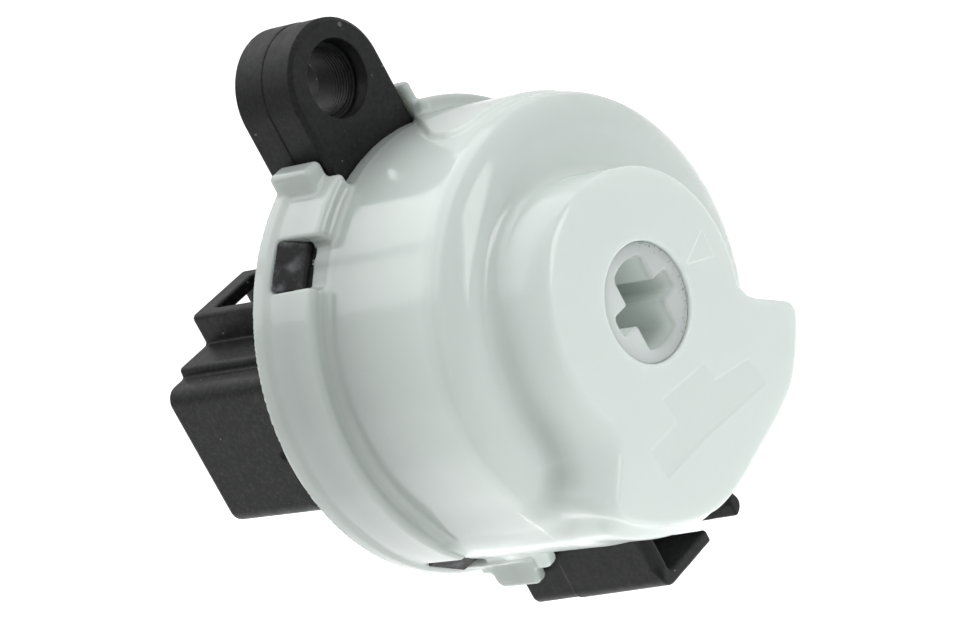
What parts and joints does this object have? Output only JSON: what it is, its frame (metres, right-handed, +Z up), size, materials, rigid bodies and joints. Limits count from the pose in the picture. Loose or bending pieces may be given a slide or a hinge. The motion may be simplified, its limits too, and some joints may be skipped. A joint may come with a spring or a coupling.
{
  "type": "ignition switch",
  "caption": "Round ignition switch with a white turned cap and cross drive socket on a black base with a screw ear, a hook arm and a rear connector.",
  "frame": {"origin": "on the rotor axis at the boss face, in the drive socket's mouth", "axes": "+Z up to the screw ear, -Y out of the front along the rotor axis, +X to the right seen from the front"},
  "size_m": [0.0442, 0.0524, 0.0592],
  "materials": {
    "white_plastic": "satin-gloss moulded white",
    "black_plastic": "satin moulded black with fine grain",
    "copper": "bare contact copper",
    "steel": "drawn spring steel",
    "tin": "tinned blade",
    "nylon": "natural nylon"
  },
  "bodies": {
    "housing": {"front_housing": "white_plastic", "rear_base": "black_plastic", "thrust_washer": "steel", "return_spring": "steel", "terminal_battery": "tin", "terminal_battery_aux": "tin", "terminal_ignition": "tin", "terminal_ignition_aux": "tin", "terminal_accessory": "tin", "terminal_starter": "tin"},
    "rotor": {"rotor": "white_plastic", "contact_carrier": "black_plastic", "contact_spring_a": "steel", "contact_spring_b": "steel", "contact_spring_c": "steel", "detent_spring_a": "steel", "detent_spring_b": "steel"},
    "plate_a": {"contact_plate_a": "copper"},
    "plate_b": {"contact_plate_b": "copper"},
    "plate_c": {"contact_plate_c": "copper"},
    "plunger_a": {"detent_plunger_a": "nylon"},
    "plunger_b": {"detent_plunger_b": "nylon"}
  },
  "joints": [
    {"name": "rotor_turn", "type": "hinge", "parent": "housing", "child": "rotor", "pos_m": [0, 0, 0], "axis": [0, 1, 0], "range_deg": [0, 115], "deforming": ["return_spring"]},
    {"name": "plate_a_press", "type": "slide", "parent": "rotor", "child": "plate_a", "axis": [0, 1, 0], "range_m": [-0.0008, 0], "stiffness_N_per_m": 600, "deforming": ["contact_spring_a"]},
    {"name": "plate_b_press", "type": "slide", "parent": "rotor", "child": "plate_b", "axis": [0, 1, 0], "range_m": [-0.0008, 0], "stiffness_N_per_m": 600, "deforming": ["contact_spring_b"]},
    {"name": "plate_c_press", "type": "slide", "parent": "rotor", "child": "plate_c", "axis": [0, 1, 0], "range_m": [-0.0008, 0], "stiffness_N_per_m": 600, "deforming": ["contact_spring_c"]},
    {"name": "plunger_a_slide", "type": "slide", "parent": "rotor", "child": "plunger_a", "axis": [1, 0, 0], "range_m": [0, 0.0006], "stiffness_N_per_m": 300, "deforming": ["detent_spring_a"]},
    {"name": "plunger_b_slide", "type": "slide", "parent": "rotor", "child": "plunger_b", "axis": [-1, 0, 0], "range_m": [0, 0.0006], "stiffness_N_per_m": 300, "deforming": ["detent_spring_b"]}
  ]
}
